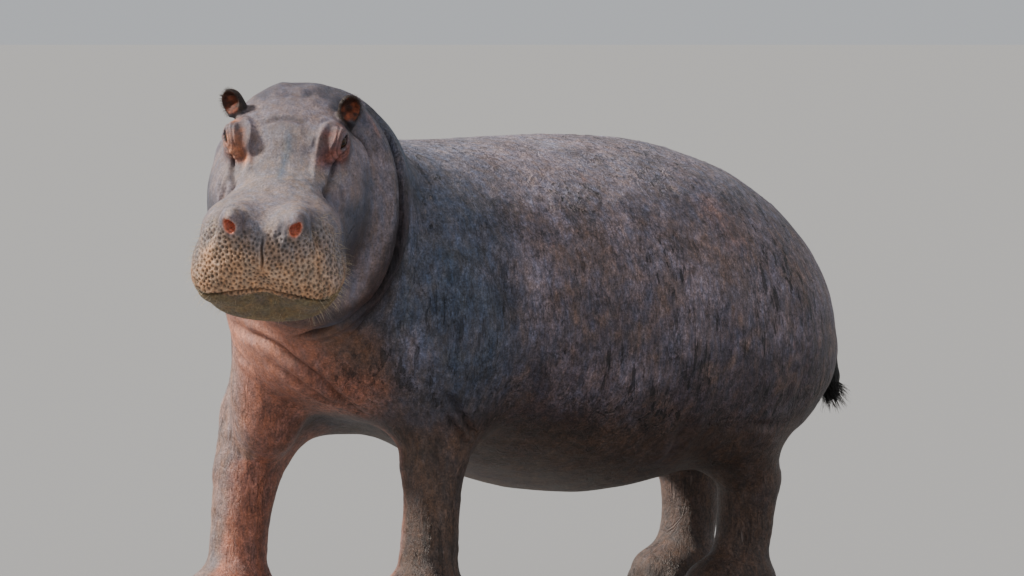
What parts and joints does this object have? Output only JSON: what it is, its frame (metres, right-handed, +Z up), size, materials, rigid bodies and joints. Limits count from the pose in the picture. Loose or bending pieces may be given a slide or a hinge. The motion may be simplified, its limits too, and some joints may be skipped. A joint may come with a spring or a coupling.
{
  "type": "hippopotamus",
  "caption": "Life-size still model of a hippopotamus standing mid-stride, head turned to its left, with a barrel trunk, short legs and small round ears.",
  "frame": {"origin": "on the floor, under the middle of the animal's bounding box", "axes": "+Z up, -Y the way the trunk faces, +X the animal's left"},
  "size_m": [1.3426, 2.8866, 1.6163],
  "materials": {
    "hide": "dull, wrinkled, almost hairless skin",
    "eye": "wet gloss",
    "nail": "dull horn"
  },
  "bodies": {
    "root": {"head": "hide", "lower_jaw": "hide", "ear_left": "hide", "ear_right": "hide", "eye_left": "eye", "eye_right": "eye", "neck": "hide", "trunk": "hide", "tail": "hide", "foreleg_left": "hide", "foreleg_left_foot": "hide", "foreleg_left_nail_1": "nail", "foreleg_left_nail_2": "nail", "foreleg_left_nail_3": "nail", "foreleg_left_nail_4": "nail", "foreleg_right": "hide", "foreleg_right_foot": "hide", "foreleg_right_nail_1": "nail", "foreleg_right_nail_2": "nail", "foreleg_right_nail_3": "nail", "foreleg_right_nail_4": "nail", "hindleg_left": "hide", "hindleg_left_foot": "hide", "hindleg_left_nail_1": "nail", "hindleg_left_nail_2": "nail", "hindleg_left_nail_3": "nail", "hindleg_left_nail_4": "nail", "hindleg_right": "hide", "hindleg_right_foot": "hide", "hindleg_right_nail_1": "nail", "hindleg_right_nail_2": "nail", "hindleg_right_nail_3": "nail", "hindleg_right_nail_4": "nail"}
  },
  "joints": []
}
